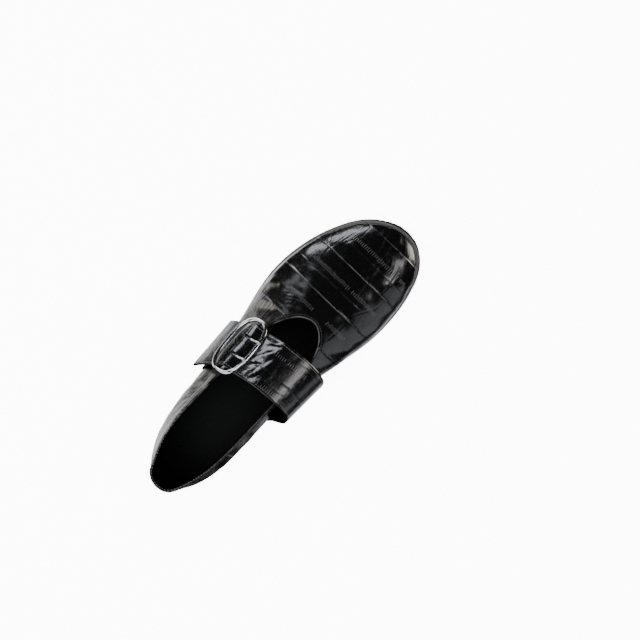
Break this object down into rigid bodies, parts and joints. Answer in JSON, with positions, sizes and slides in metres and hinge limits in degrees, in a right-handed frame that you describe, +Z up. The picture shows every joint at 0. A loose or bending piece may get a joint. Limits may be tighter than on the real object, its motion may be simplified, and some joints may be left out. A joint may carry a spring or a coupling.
{
  "type": "buckled strap flat shoe",
  "caption": "Low black leather flat for the left foot with a rounded toe, an open scooped collar, a wide instep strap closed by an oval buckle, a thin sole and a low block heel.",
  "frame": {"origin": "bottom centre of the whole shoe's box, on the floor that the heel and the forefoot stand on", "axes": "+X from the heel to the toe, +Y to the outer side of the left foot, +Z up"},
  "size_m": [0.2502, 0.0864, 0.076],
  "materials": {
    "outsole": "dull black sole with a trimmed edge",
    "heel": "dull black block heel",
    "insole": "smooth matt black lining leather",
    "upper": "glazed black leather pieced in strips, glossy and finely creased",
    "strap": "glazed black leather with stitched edges, glossy and finely creased",
    "buckle_tab": "glazed black leather, glossy",
    "buckle": "polished silver wire",
    "prongs": "polished silver wire"
  },
  "bodies": {
    "root": {"outsole": "outsole", "heel": "heel", "insole": "insole", "upper": "upper", "strap": "strap", "buckle_tab": "buckle_tab", "buckle": "buckle", "prong_front": "prongs", "prong_back": "prongs"}
  },
  "joints": []
}
